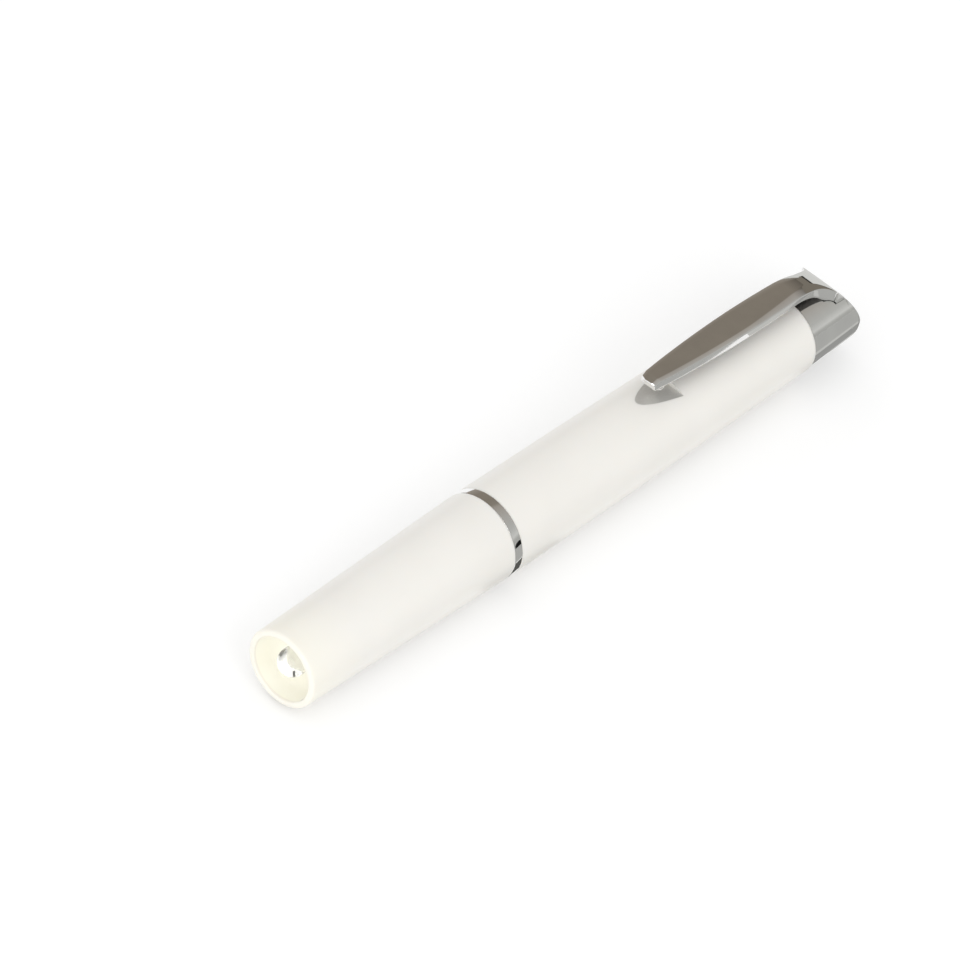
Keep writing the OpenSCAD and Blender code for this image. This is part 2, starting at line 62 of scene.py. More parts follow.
# The clip's edges: a facet beside its back that widens from FACET_X on, and small roundings
FACET_W, FACET_ROOT_W, FACET_SLOPE, FACET_LEAD, FACET_X, FACET_LEN = 0.75, 0.2, 0.3, 0.06, 108.0, 15.0
EDGE_TOP_R, EDGE_LOW_R, EDGE_END_R = 0.14, 0.2, 0.22
# Where the round of the tip's end begins, and over what length it comes in
TIP_ZONE_X, TIP_ZONE_LEN = 89.5, 4.3
# How far the arch's root sinks into the eye, the eye's edges, and its gap round the pin
EYE_SINK, EYE_EDGE, PIN_GAP = 0.3, 0.15, 0.06
# The cap: rounding of its edges, and where the sweep starts to cut it. Its slot: where it and the eye's seat
# begin, how far ahead of itself it follows the clip's width, the step at its end, and its widest share of the cap
CAP_EDGE, SWEEP_CUT_X, SWEEP_CUT_ANGLE = 0.4, 130.7, 46.866
SLOT_X, SEAT_X, SLOT_AHEAD, SLOT_STEP, SLOT_MOST_SHARE = 126.0, 130.0, 0.12, 0.004, 0.92
# How much of the root's gap in its slot the clip's skin takes up, so that it shows as a fine line
ROOT_FILL = 0.13


# Mesh helpers


def rounded(points, steps=6):
    """A closed outline of (x, r, radius) corners, with each corner rounded by its radius."""
    out = []
    for i, (x, r, rad) in enumerate(points):
        here = Vector((x, r))
        if rad <= 0:
            out.append(here)
            continue
        a = (Vector(points[i - 1][:2]) - here).normalized()
        b = (Vector(points[(i + 1) % len(points)][:2]) - here).normalized()
        half = math.acos(max(-1.0, min(1.0, a.dot(b)))) / 2
        centre = here + (a + b).normalized() * (rad / math.sin(half))
        start, end = here + a * (rad / math.tan(half)), here + b * (rad / math.tan(half))
        va, vb = start - centre, end - centre
        sweep = math.pi - 2 * half
        turn = 1 if va.x * vb.y - va.y * vb.x > 0 else -1
        for k in range(steps + 1):
            t = turn * sweep * k / steps
            c, s = math.cos(t), math.sin(t)
            out.append(centre + Vector((va.x * c - va.y * s, va.x * s + va.y * c)))
    return [(p.x, p.y) for p in out]


def lathe(outline, turns=256):
    """Vertices and faces of a closed (x, r) outline turned about the pen's axis."""
    n = len(outline)
    verts, faces = [], []
    for j in range(turns):
        a = 2 * math.pi * j / turns
        verts += [(x, r * math.sin(a), r * math.cos(a)) for x, r in outline]
    for j in range(turns):
        a, b = j * n, (j + 1) % turns * n
        for i in range(n):
            k = (i + 1) % n
            if outline[i][1] < 1e-6 and outline[k][1] < 1e-6:
                continue
            faces.append((a + i, a + k, b + k, b + i))
    return verts, faces


def loft_faces(count, ring_n):
    """Faces of a closed solid of count sections with ring_n points each: its sides, then both ends."""
    faces = []
    for i in range(count - 1):
        for k in range(ring_n):
            a, b = i * ring_n + k, i * ring_n + (k + 1) % ring_n
            faces.append((a, b, b + ring_n, a + ring_n))
    last = (count - 1) * ring_n
    return faces + [tuple(range(ring_n)), tuple(reversed(range(last, last + ring_n)))]


def piece(name, verts, faces, material, body, replaced=(), slot=None, sharp=32):
    """A mesh in millimetres as a piece of the object, riding on a body."""
    mesh = bpy.data.meshes.new(name)
    mesh.from_pydata([Vector(v) * MM for v in verts], [], faces)
    mesh.validate()
    work = bpy.data.objects.new(name, mesh)
    bpy.context.scene.collection.objects.link(work)
    tidy(mesh, sharp)
    mesh.materials.append(material)
    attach(work, body)
    if replaced:
        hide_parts(*replaced)
    return work


def tidy(mesh, sharp):
    """Joins doubled points, turns faces outward and shades smooth but for sharp edges."""
    bm = bmesh.new()
    bm.from_mesh(mesh)
    bmesh.ops.remove_doubles(bm, verts=bm.verts, dist=1e-7)
    bmesh.ops.dissolve_degenerate(bm, edges=bm.edges, dist=1e-8)
    bmesh.ops.recalc_face_normals(bm, faces=bm.faces)
    bm.to_mesh(mesh)
    bm.free()
    for polygon in mesh.polygons:
        polygon.use_smooth = True
    mesh.set_sharp_from_angle(angle=math.radians(sharp))


# Materials


def new_material(name):
    """An empty node material with its Principled shader and object coordinates."""
    mat = bpy.data.materials.new(name)
    mat.use_nodes = True
    tree = mat.node_tree
    shader = tree.nodes["Principled BSDF"]
    coords = tree.nodes.new("ShaderNodeTexCoord")
    return mat, tree, shader, coords


def noise(tree, coords, scale, detail=4.0, stretch=None):
    """A noise value over the object's own coordinates, in features per metre."""
    node = tree.nodes.new("ShaderNodeTexNoise")
    node.inputs["Scale"].default_value = scale
    node.inputs["Detail"].default_value = detail
    source = coords.outputs["Object"]
    if stretch:
        mapping = tree.nodes.new("ShaderNodeMapping")
        mapping.inputs["Scale"].default_value = stretch
        tree.links.new(source, mapping.inputs["Vector"])
        source = mapping.outputs["Vector"]
    tree.links.new(source, node.inputs["Vector"])
    return node.outputs["Fac"]


def ramp(tree, value, stops):
    """Colours along a value."""
    node = tree.nodes.new("ShaderNodeValToRGB")
    elements = node.color_ramp.elements
    while len(elements) < len(stops):
        elements.new(0.5)
    for element, (place, colour) in zip(elements, stops):
        element.position = place
        element.color = (*colour, 1.0)
    tree.links.new(value, node.inputs["Fac"])
    return node.outputs["Color"]


def span(tree, value, low, high):
    """A value from 0 to 1 spread over another span."""
    node = tree.nodes.new("ShaderNodeMapRange")
    node.inputs["To Min"].default_value = low
    node.inputs["To Max"].default_value = high
    tree.links.new(value, node.inputs["Value"])
    return node.outputs["Result"]


def bumped(tree, shader, height, distance, strength=1.0):
    """Small relief from a height value."""
    node = tree.nodes.new("ShaderNodeBump")
    node.inputs["Distance"].default_value = distance
    node.inputs["Strength"].default_value = strength
    tree.links.new(height, node.inputs["Height"])
    tree.links.new(node.outputs["Normal"], shader.inputs["Normal"])


def surface(name, dark, light, rough, metallic=0.0, scale=600.0, relief=2e-6, stretch=None, coat=0.0):
    """A procedural finish: colour between two tones, roughness in a span and fine relief."""
    mat, tree, shader, coords = new_material(name)
    value = noise(tree, coords, scale, 5.0, stretch)
    tree.links.new(ramp(tree, value, [(0.3, dark), (0.7, light)]), shader.inputs["Base Color"])
    grain = noise(tree, coords, scale * 2.3, 3.0, stretch)
    tree.links.new(span(tree, grain, *rough), shader.inputs["Roughness"])
    shader.inputs["Metallic"].default_value = metallic
    shader.inputs["Coat Weight"].default_value = coat
    shader.inputs["Coat Roughness"].default_value = 0.12
    bumped(tree, shader, noise(tree, coords, scale * 5, 3.0, stretch), relief)
    return mat


def glow(mat, colour, strength):
    """Gives a surface a painted glow: a weak light of its own that stands in for light reaching it."""
    shader = mat.node_tree.nodes["Principled BSDF"]
    shader.inputs["Emission Color"].default_value = (*colour, 1.0)
    shader.inputs["Emission Strength"].default_value = strength


def shell_white():
    """Warm white moulded plastic, with a painted glow: creamier towards the lamp's mouth, where light shines
    through the thin rim.
    """
    mat, tree, shader, coords = new_material("shell_white")
    split = tree.nodes.new("ShaderNodeSeparateXYZ")
    tree.links.new(coords.outputs["Object"], split.inputs["Vector"])
    along = tree.nodes.new("ShaderNodeMapRange")
    along.inputs["From Min"].default_value = 0.0
    along.inputs["From Max"].default_value = 0.012
    tree.links.new(split.outputs["X"], along.inputs["Value"])
    # Painted glow: the tone warms towards the mouth, standing for light through the thin plastic there
    tone_and_mouth_glow = ramp(tree, along.outputs["Result"],
                  [(0.0, (0.95, 0.92, 0.83)), (1.0, (0.90, 0.88, 0.835))])
    cloud = ramp(tree, noise(tree, coords, 90.0, 3.0),
                 [(0.3, (0.975, 0.975, 0.972)), (0.7, (1.0, 1.0, 1.0))])
    mix = tree.nodes.new("ShaderNodeMix")
    mix.data_type = "RGBA"
    mix.blend_type = "MULTIPLY"
    mix.inputs["Factor"].default_value = 1.0
    tree.links.new(tone_and_mouth_glow, mix.inputs["A"])
    tree.links.new(cloud, mix.inputs["B"])
    tree.links.new(mix.outputs["Result"], shader.inputs["Base Color"])
    tree.links.new(span(tree, noise(tree, coords, 1500.0, 3.0), 0.3, 0.4), shader.inputs["Roughness"])
    shader.inputs["Subsurface Weight"].default_value = 0.12
    shader.inputs["Subsurface Radius"].default_value = (0.0012, 0.001, 0.0008)
    shader.inputs["Subsurface Scale"].default_value = 1.0
    bumped(tree, shader, noise(tree, coords, 5200.0, 3.0), 1.2e-6)
    return mat


def clip_plate():
    """The bright plate of the clip, with painted shade on its underside: darker and duller where it faces down.
    """
    mat = surface("clip_plate", *PLATING)
    tree = mat.node_tree
    shader = tree.nodes["Principled BSDF"]
    coords = [n for n in tree.nodes if n.type == "TEX_COORD"][0]
    split = tree.nodes.new("ShaderNodeSeparateXYZ")
    tree.links.new(coords.outputs["Normal"], split.inputs["Vector"])
    # Painted shade: where the surface faces down it takes a dark colour, along with a duller roughness
    under = tree.nodes.new("ShaderNodeMapRange")
    under.inputs["From Min"].default_value = -0.35
    under.inputs["From Max"].default_value = -0.75
    tree.links.new(split.outputs["Z"], under.inputs["Value"])
    underside_shade_looks = (("Base Color", "RGBA", (0.16, 0.155, 0.15, 1.0)), ("Roughness", "FLOAT", 0.4))
    for socket, kind, painted_shade_and_dull in underside_shade_looks:
        bright = shader.inputs[socket].links[0].from_socket
        mix = tree.nodes.new("ShaderNodeMix")
        mix.data_type = kind
        ends = [i for i in mix.inputs if i.name in "AB" and i.enabled]
        tree.links.new(under.outputs["Result"], mix.inputs["Factor"])
        tree.links.new(bright, ends[0])
        ends[1].default_value = painted_shade_and_dull
        tree.links.new([o for o in mix.outputs if o.enabled][0], shader.inputs[socket])
    return mat


def clear_resin():
    """The lamp's clear moulding, with a trace of haze."""
    mat, tree, shader, coords = new_material("clear_resin")
    shader.inputs["Base Color"].default_value = (0.995, 0.995, 0.985, 1.0)
    shader.inputs["Transmission Weight"].default_value = 0.95
    shader.inputs["IOR"].default_value = 1.5
    tree.links.new(span(tree, noise(tree, coords, 800.0), 0.0, 0.05), shader.inputs["Roughness"])
    bumped(tree, shader, noise(tree, coords, 500.0), 2e-6)
    return mat


def cell_film(name, colours):
    """A cell's printed film: plain bands of colour along its length."""
    mat, tree, shader, coords = new_material(name)
    split = tree.nodes.new("ShaderNodeSeparateXYZ")
    tree.links.new(coords.outputs["Generated"], split.inputs["Vector"])
    bands = ramp(tree, split.outputs["X"], colours)
    tree.links.new(bands, shader.inputs["Base Color"])
    tree.links.new(span(tree, noise(tree, coords, 900.0), 0.25, 0.38), shader.inputs["Roughness"])
    bumped(tree, shader, noise(tree, coords, 3000.0), 2e-6)
    return mat


# Two tones, span of roughness, metal, grains per metre, depth of relief
PLATING = ((0.86, 0.86, 0.855), (0.91, 0.91, 0.90), (0.03, 0.07), 1.0, 260.0, 4e-7)
WHITE = shell_white()
PLATE = surface("bright_plate", *PLATING)
CLIP = clip_plate()
RESIN = clear_resin()
CREAM = surface("dish_cream", (0.96, 0.94, 0.83), (0.97, 0.955, 0.86), (0.42, 0.52), 0.0, 220.0, 1e-6)
CUP = surface("lamp_cup_white", (0.90, 0.90, 0.87), (0.95, 0.95, 0.93), (0.25, 0.35), 0.0, 2200.0, 2e-6)
# Painted glow: the dish's weak light stands for light through the thin white mouth and lifts the shade in its
# bowl, and the cup's stands for the light that the clear lamp lets in
glow(CREAM, (1.0, 0.96, 0.82), 0.045)
glow(CUP, (1.0, 1.0, 0.97), 0.65)
TINNED = surface("lamp_legs", (0.62, 0.62, 0.61), (0.80, 0.80, 0.79), (0.18, 0.32), 1.0, 2500.0, 3e-6)
SATIN = surface("pad_satin", (0.66, 0.65, 0.615), (0.73, 0.72, 0.685), (0.34, 0.46), 0.4, 1600.0, 3e-6,
                (1, 6, 1))
BLACK = surface("holder_black", (0.02, 0.02, 0.021), (0.045, 0.045, 0.047), (0.4, 0.6), 0.0, 1800.0, 8e-6)
BOARD = surface("board_green", (0.02, 0.10, 0.035), (0.04, 0.17, 0.06), (0.3, 0.45), 0.0, 900.0, 6e-6,
                (1, 1, 8))
BRASS = surface("drawn_brass", (0.60, 0.43, 0.17), (0.74, 0.56, 0.25), (0.16, 0.30), 1.0, 700.0, 3e-6,
                (12, 1, 1))
STEEL = surface("spring_steel", (0.52, 0.52, 0.53), (0.68, 0.68, 0.69), (0.2, 0.34), 1.0, 1800.0, 4e-6)
TURNED = surface("carrier_metal", (0.60, 0.60, 0.61), (0.74, 0.74, 0.75), (0.22, 0.38), 1.0, 900.0, 5e-6,
                 (14, 1, 1))
CAN = surface("cell_can", (0.60, 0.61, 0.63), (0.72, 0.73, 0.75), (0.2, 0.32), 1.0, 700.0, 3e-6, (1, 10, 10))
SEAL = surface("cell_seal", (0.72, 0.72, 0.69), (0.82, 0.82, 0.79), (0.45, 0.6), 0.0, 1400.0, 6e-6)
BASE = surface("cell_base", (0.62, 0.62, 0.63), (0.75, 0.75, 0.76), (0.15, 0.3), 1.0, 1200.0, 4e-6)
FILM = cell_film("cell_film", [(0.0, (0.55, 0.56, 0.58)), (0.16, (0.02, 0.06, 0.16)),
                               (0.80, (0.03, 0.09, 0.24)), (0.84, (0.55, 0.56, 0.58))])
PHOSPHOR = surface("lamp_phosphor", (0.80, 0.62, 0.10), (0.90, 0.74, 0.20), (0.5, 0.7), 0.0, 3000.0, 6e-6)

FINISH = {
    "nose_shell": WHITE, "barrel_shell": WHITE, "trim_ring": PLATE, "tail_cap": PLATE, "clip": PLATE,
    "clip_ball": PLATE, "contact_pad": SATIN, "lamp_dish": CREAM, "lamp_dome": RESIN, "lamp_frame": TINNED,
    "lamp_holder": BLACK, "lamp_board": BOARD, "lamp_contact": BRASS, "nose_liner": BRASS,
    "barrel_liner": BRASS, "thread_spigot": BRASS, "lamp_spring": STEEL, "tail_spring": STEEL,
    "clip_pin": STEEL, "clip_carrier": TURNED, "front_cell_can": CAN, "rear_cell_can": CAN,
    "front_cell_jacket": FILM, "rear_cell_jacket": FILM, "front_cell_seal": SEAL, "rear_cell_seal": SEAL,
    "front_cell_base": BASE, "rear_cell_base": BASE,
}
for name, material in FINISH.items():
    data = nodes[name].data
    data.materials.clear()
    data.materials.append(material)


# The nose, the trim ring, the dish and the lamp, turned with their edges rounded

nose = rounded([
    (0.0, MOUTH_R, MOUTH_EDGE), (0.0, RIM_R, RIM_EDGE), (NOSE_LEN, RING_R, RING_EDGE),
    (NOSE_LEN, THREAD_R, 0), (SPIGOT_X, THREAD_R, 0), (SPIGOT_X, BORE_R, 0), (WEB_BACK, BORE_R, 0),
    (WEB_BACK, NECK_R, 0), (LAMP_BACK, NECK_R, 0), (LAMP_BACK, MOUTH_R, 0)])
piece("nose_skin", *lathe(nose), WHITE, "nose", ["nose_shell"], "white_shell")

ring_x0, ring_x1 = NOSE_LEN + RING_GAP, BARREL_X - RING_GAP
ring = rounded([(ring_x0, THREAD_R, 0), (ring_x0, RING_R, RING_EDGE),
                (ring_x1, RING_R, RING_EDGE), (ring_x1, THREAD_R, 0)])
piece("ring_skin", *lathe(ring), PLATE, "trim_ring", ["trim_ring"], "bright_plate")

seat_r, hole_r = MOUTH_R - SEAT_GAP, LAMP_R + DISH_HOLE_GAP
lip_r = seat_r - DISH_LIP
bowl_w = lip_r - hole_r
bowl_r = (bowl_w ** 2 + DISH_DEPTH ** 2) / (2 * DISH_DEPTH)
bowl_end = math.asin(bowl_w / bowl_r)
bowl = [(DISH_IN + DISH_DEPTH - bowl_r + bowl_r * math.cos(t), hole_r + bowl_r * math.sin(t))
        for t in (bowl_end * k / 24 for k in range(25))]
dish = bowl + [(DISH_IN, seat_r), (DISH_BACK, seat_r), (DISH_BACK, hole_r)]
piece("dish_skin", *lathe(dish), CREAM, "nose", ["lamp_dish"], "dish_cream")

dome = [(LAMP_IN + LAMP_R - LAMP_R * math.cos(t), LAMP_R * math.sin(t))
        for t in (math.pi / 2 * k / 24 for k in range(25))]
dome += [(DISH_BACK, LAMP_R), (DISH_BACK, FLANGE_R), (LAMP_BACK, FLANGE_R), (LAMP_BACK, 0.0)]
piece("lamp_lens", *lathe(dome, 96), RESIN, "nose", ["lamp_dome"], "lamp_clear")


# Inside the lamp: a cup made bright by a painted glow, with its filling on one post, and the other, darker post
# beside it

cup = [(5.7, 0.0), (5.7, 0.4), (4.6, 1.35), (4.6, 1.5), (6.4, 0.9), (8.5, 0.9), (8.5, 2.42), (8.9, 2.42),
       (8.9, 0.0)]
piece("lamp_cup", *lathe(cup, 96), CUP, "nose", slot="lamp_legs")
fill = [(5.2, 0.0), (5.22, 0.4), (5.3, 0.58), (5.66, 0.38), (5.68, 0.0)]
piece("lamp_fill", *lathe(fill, 64), PHOSPHOR, "nose", slot="dish_cream")
post = rounded([(POST_IN, 0.0, 0), (POST_IN, POST_R, POST_EDGE), (POST_END, POST_R, 0), (POST_END, 0.0, 0)])
post_verts, post_faces = lathe(post, 48)
piece("lamp_post", [(x, y + POST_Y, z + POST_Z) for x, y, z in post_verts], post_faces, STEEL, "nose",
      slot="lamp_legs")


# The spigot, with the groove of its thread cut round the part that the nose screws onto

def threaded(x0, x1, end, r_out, r_in, depth, pitch, turns=120, per_turn=10):
    """A tube whose outside has a helical groove from x0 to x1 and is plain from there to its end."""
    half_share, flat_share, run_out = 0.36, 1.35, 0.5
    rows = int((x1 - x0) / pitch * per_turn)
    verts, faces = [], []
    for j in range(turns):
        a = 2 * math.pi * j / turns
        line = []
        for i in range(rows + 1):
            x = x0 + (x1 - x0) * i / rows
            phase = ((x - x0) / pitch + j / turns) % 1.0
            groove = max(0.0, 1 - abs(phase - 0.5) / half_share)
            fade = min(1.0, (x - x0) / run_out, (x1 - x) / run_out)
            line.append((x, r_out - depth * min(1.0, flat_share * groove) * fade))
        line += [(end, r_out), (end, r_in), (x0, r_in)]
        verts += [(x, r * math.sin(a), r * math.cos(a)) for x, r in line]
    n = rows + 4
    for j in range(turns):
        a, b = j * n, (j + 1) % turns * n
        for i in range(n):
            k = (i + 1) % n
            faces.append((a + i, a + k, b + k, b + i))
    return verts, faces


thread = threaded(SPIGOT_X, THREAD_END, SPIGOT_END, SPIGOT_R, TUBE_R, THREAD_DEPTH, THREAD_PITCH)
piece("spigot_thread", *thread, BRASS, "barrel", ["thread_spigot"], "brass", 40)


# The clip: an arch and a blade of one leaf plan that flares to its root, with its edges rounded

def plan_half(x):
    """Half the clip's width at a station: the blade's long arc, then the flare to the root."""
    drop = (CLIP_W - TIP_W) / 2
    side_r = (CLIP_BELLY ** 2 + drop ** 2) / (2 * drop)
    half = CLIP_W / 2 - side_r + math.sqrt(side_r ** 2 - (min(x, FLARE_X) - TIP_X - CLIP_BELLY) ** 2)
    share = max(0.0, min(1.0, (x + ROOT_FILL / 2 - FLARE_X) / FLARE_LEN))
    return half + (ROOT_W / 2 + ROOT_FILL - half) * (1 - math.sqrt(1 - share * share))


# The arch's back turns into the blade at TURN; its underside is a smaller arc of centre UNDER
LEAN = math.radians(CLIP_LEAN)
TURN_X, TURN_Z = SWEEP_X + SWEEP_R * math.sin(LEAN), SWEEP_Z + SWEEP_R * math.cos(LEAN)
SHIFT = (CLIP_ROOT_T - CLIP_T) / (1 - math.cos(math.radians(90 - EYE_ANGLE) - LEAN))
UNDER_X, UNDER_Z = SWEEP_X + SHIFT * math.sin(LEAN), SWEEP_Z + SHIFT * math.cos(LEAN)
UNDER_R = SWEEP_R - CLIP_T - SHIFT
ROOT_X = SWEEP_X + SWEEP_R * math.cos(math.radians(EYE_ANGLE))


def sweep_z(x):
    """Height of the sweep that the cap's top and the clip's arch share."""
    return SWEEP_Z + math.sqrt(max(0.0, SWEEP_R ** 2 - (x - SWEEP_X) ** 2))


def back_z(x):
    """Height of the clip's back."""
    return sweep_z(x) if x > TURN_X else TURN_Z + (TURN_X - x) * math.tan(LEAN)


def under_z(x):
    """Height of the clip's underside, down to just below the eye's middle."""
    if x < UNDER_X + UNDER_R * math.sin(LEAN):
        return back_z(x) - CLIP_T / math.cos(LEAN)
    return max(EYE_Z - EYE_SINK, UNDER_Z + math.sqrt(max(0.0, UNDER_R ** 2 - (x - UNDER_X) ** 2)))


def clip_mesh():
    """Upright sections of the clip from its root out to the tip."""
    flare0 = FLARE_X - ROOT_FILL / 2
    bevel_x, step = TIP_X + 2 * TIP_BEVEL, 0.1
    xs = [ROOT_X + (flare0 + FLARE_LEN - ROOT_X) * k / 24 for k in range(24)]
    xs += [flare0 + FLARE_LEN * math.cos(math.pi / 2 * k / 48) for k in range(49)]
    xs += [flare0 + (TURN_X - flare0) * k / 40 for k in range(1, 41)]
    xs += [TURN_X + (bevel_x + step - TURN_X) * k / 44 for k in range(1, 45)] + [bevel_x, bevel_x - step]
    stations = [(x, 0.0) for x in xs]
    stations += [(TIP_X + EDGE_END_R * (1 - math.sin(t)), EDGE_END_R * (1 - math.cos(t)))
                 for t in (math.pi / 2 * k / 6 for k in range(7))]
    n, rows = 6, 8
    verts = []
    for x, inset in stations:
        grow = max(0.0, min(1.0, (x - FACET_X) / FACET_LEN))
        fade = max(0.0, min(1.0, (x - flare0) / FLARE_LEN))
        facet_w = FACET_W * (1 + grow) * (1 - fade) + FACET_ROOT_W * fade
        facet_d = FACET_SLOPE * facet_w
        corner = [(facet_w + FACET_LEAD, 0.0)]
        corner += [(facet_w + (EDGE_TOP_R / 2 - facet_w) * u, facet_d * (0.6 * u + 0.4 * u * u))
                   for u in (k / n for k in range(n + 1))]
        corner += [(EDGE_TOP_R * (1 - math.sin(t)),
                    facet_d + EDGE_TOP_R * (math.cos(math.pi / 6) - math.cos(t)))
                   for t in (math.pi / 6 + math.pi / 3 * k / n for k in range(1, n + 1))]
        drop = inset + max(0.0, (bevel_x - x) / 2)
        corner = [(inward, depth + drop) for inward, depth in corner]
        start, end = corner[-1][1], back_z(x) - under_z(x) - inset - EDGE_LOW_R
        corner += [(0.0, start + (end - start) * k / rows) for k in range(1, rows)]
        corner += [(EDGE_LOW_R * (1 - math.cos(t)), end + EDGE_LOW_R * math.sin(t))
                   for t in (math.pi / 2 * k / n for k in range(n + 1))]
        near_tip = max(0.0, min(1.0, (TIP_ZONE_X - x) / TIP_ZONE_LEN))
        for side, row in ((1, corner), (-1, corner[::-1])):
            for inward, depth in row:
                v = side * (plan_half(x) - inward - inset)
                round_off = (TIP_ROUND - math.sqrt(TIP_ROUND ** 2 - min(v * v, TIP_W ** 2))) * near_tip
                verts.append((x + round_off, v, back_z(x) - depth))
    return verts, loft_faces(len(stations), 2 * len(corner))


piece("clip_skin", *clip_mesh(), CLIP, "clip", ["clip"], "bright_plate", 40)

eye_in, eye_half = PIN_R + PIN_GAP, ROOT_W / 2
eye = rounded([(-eye_half, eye_in, 0), (-eye_half, EYE_R, EYE_EDGE),
               (eye_half, EYE_R, EYE_EDGE), (eye_half, eye_in, 0)])
eye_verts, eye_faces = lathe(eye, 96)
piece("clip_eye", [(EYE_X + y, x, EYE_Z + z) for x, y, z in eye_verts], eye_faces, PLATE, "clip",
      slot="bright_plate")


# The cap: a tapered round cut by the sweep, its edges rounded, with the slot for the clip's root

def cap_side(x):
    """Radius of the cap's side, with the rounding at its top."""
    corner = END_X - CAP_ROUND
    slope = math.atan((CAP_R - CAP_TOP_R) / (corner - CAP_X))
    if x > corner + CAP_ROUND * math.sin(slope):
        rise = math.sqrt(max(0.0, CAP_ROUND ** 2 - (x - corner) ** 2))
        return CAP_TOP_R - CAP_ROUND / math.cos(slope) + rise
    return CAP_R + (CAP_TOP_R - CAP_R) * (x - CAP_X) / (corner - CAP_X)


def slot_half(x):
    """Half the width of the cap's slot: the clip's own width just ahead, and a gap."""
    filled = ROOT_FILL * max(0.0, min(1.0, (x - FLARE_X) / FLARE_LEN))
    return plan_half(x + SLOT_AHEAD) - filled + SLOT_GAP


def cap_mesh(edge=CAP_EDGE):
    """Upright sections of the cap from its foot to its top."""
    slot_end = EYE_X + EYE_R + SLOT_GAP
    xs = [CAP_X + (SWEEP_CUT_X - CAP_X) * k / 44 for k in range(44)]
    turns = [SWEEP_CUT_ANGLE + (90 - SWEEP_CUT_ANGLE) * k / 72 for k in range(73)]
    xs += [SWEEP_X + SWEEP_R * math.sin(math.radians(turn)) for turn in turns]
    xs = sorted(xs + [slot_end - SLOT_STEP, slot_end + SLOT_STEP])
    side_n, floor_n = 80, 11
    verts = []
    for x in xs:
        r, top = cap_side(x), sweep_z(x)
        half = min(slot_half(x), SLOT_MOST_SHARE * r)
        if top < r:
            zc = top - edge
            yc = math.sqrt(max(0.0, (r - edge) ** 2 - zc ** 2))
            turn = math.atan2(yc, zc)
        else:
            zc, yc, turn = r - edge, 0.0, 0.0
        outline = [(r * math.sin(t), r * math.cos(t))
                   for t in (math.pi + (turn - math.pi) * k / 60 for k in range(61))]
        outline += [(yc + edge * math.sin(t), zc + edge * math.cos(t))
                    for t in (turn * (1 - k / 8) for k in range(1, 9))]
        outline.append((0.0, outline[-1][1]))
        split = next((i for i, (y, z) in enumerate(outline) if i > 20 and y < half), len(outline) - 1)
        (y0, z0), (y1, z1) = outline[split - 1], outline[split]
        share = (y0 - half) / (y0 - y1) if y0 > half > y1 else 0.0
        lip = (min(half, y0), z0 + (z1 - z0) * share)
        kept = [outline[min(split - 1, round(i * (split - 1) / side_n))] for i in range(side_n + 1)] + [lip]
        if x >= slot_end or x < SLOT_X:
            floor = lip[1]
        elif x > SEAT_X:
            floor = EYE_Z - math.sqrt(max(0.0, (EYE_R + SLOT_GAP) ** 2 - (x - EYE_X) ** 2))
        else:
            floor = min(lip[1], under_z(x) - SLOT_GAP)
        if floor == lip[1]:
            rest = outline[split:]
            inner = [rest[min(len(rest) - 1, round(i * (len(rest) - 1) / floor_n))] for i in range(floor_n + 1)]
        else:
            inner = [(lip[0] * (1 - i / floor_n), floor) for i in range(floor_n + 1)]
        right = kept + inner
        verts += [(x, -y, z) for y, z in right] + [(x, y, z) for y, z in right[-2:0:-1]]
    return verts, loft_faces(len(xs), 2 * len(right) - 2)


piece("cap_skin", *cap_mesh(), PLATE, "barrel", ["tail_cap"], "bright_plate", 35)


# Studio, in metres: floor, light, and what the bright metal mirrors

FLOOR_Z = -0.008


def staged(name, verts, faces, material, place=(0, 0, 0)):
    """A mesh of the studio, which isn't part of the object."""
    mesh = bpy.data.meshes.new(name)
    mesh.from_pydata(verts, [], faces)
    mesh.materials.append(material)
    thing = bpy.data.objects.new(name, mesh)
    bpy.context.scene.collection.objects.link(thing)
    thing.location = place
    return thing


def emitter(name):
    """A material that is light alone, with its node tree and its emission node."""
    mat = bpy.data.materials.new(name)
    mat.use_nodes = True
    tree = mat.node_tree
    tree.nodes.remove(tree.nodes["Principled BSDF"])
    emit = tree.nodes.new("ShaderNodeEmission")
    tree.links.new(emit.outputs["Emission"], tree.nodes["Material Output"].inputs["Surface"])
    return mat, tree, emit


def shown(tree):
    """1 for rays that show the background: to the camera, in metal and through glass."""
    path = tree.nodes.new("ShaderNodeLightPath")
    value = path.outputs["Is Camera Ray"]
    for other in ("Is Glossy Ray", "Is Transmission Ray"):
        node = tree.nodes.new("ShaderNodeMath")
        node.operation = "MAXIMUM"
        tree.links.new(value, node.inputs[0])
        tree.links.new(path.outputs[other], node.inputs[1])
        value = node.outputs["Value"]
    return value


def floor(size=6.0):
    """A pale matt floor that keeps shadows, lifted to white where the background shows."""
    mat, tree, lift = emitter("floor_white")
    lift.inputs["Color"].default_value = (1, 1, 1, 1)
    matt = tree.nodes.new("ShaderNodeBsdfDiffuse")
    matt.inputs["Color"].default_value = (0.86, 0.86, 0.86, 1.0)
    level = tree.nodes.new("ShaderNodeMath")
    level.operation = "MULTIPLY"
    level.inputs[1].default_value = 0.2
    tree.links.new(shown(tree), level.inputs[0])
    tree.links.new(level.outputs["Value"], lift.inputs["Strength"])
    both = tree.nodes.new("ShaderNodeAddShader")
    tree.links.new(matt.outputs["BSDF"], both.inputs[0])
    tree.links.new(lift.outputs["Emission"], both.inputs[1])
    tree.links.new(both.outputs["Shader"], tree.nodes["Material Output"].inputs["Surface"])
    h = size / 2
    corners = [(-h, -h, 0), (h, -h, 0), (h, h, 0), (-h, h, 0)]
    staged("floor", corners, [(0, 1, 2, 3)], mat, (0.07, 0, FLOOR_Z))


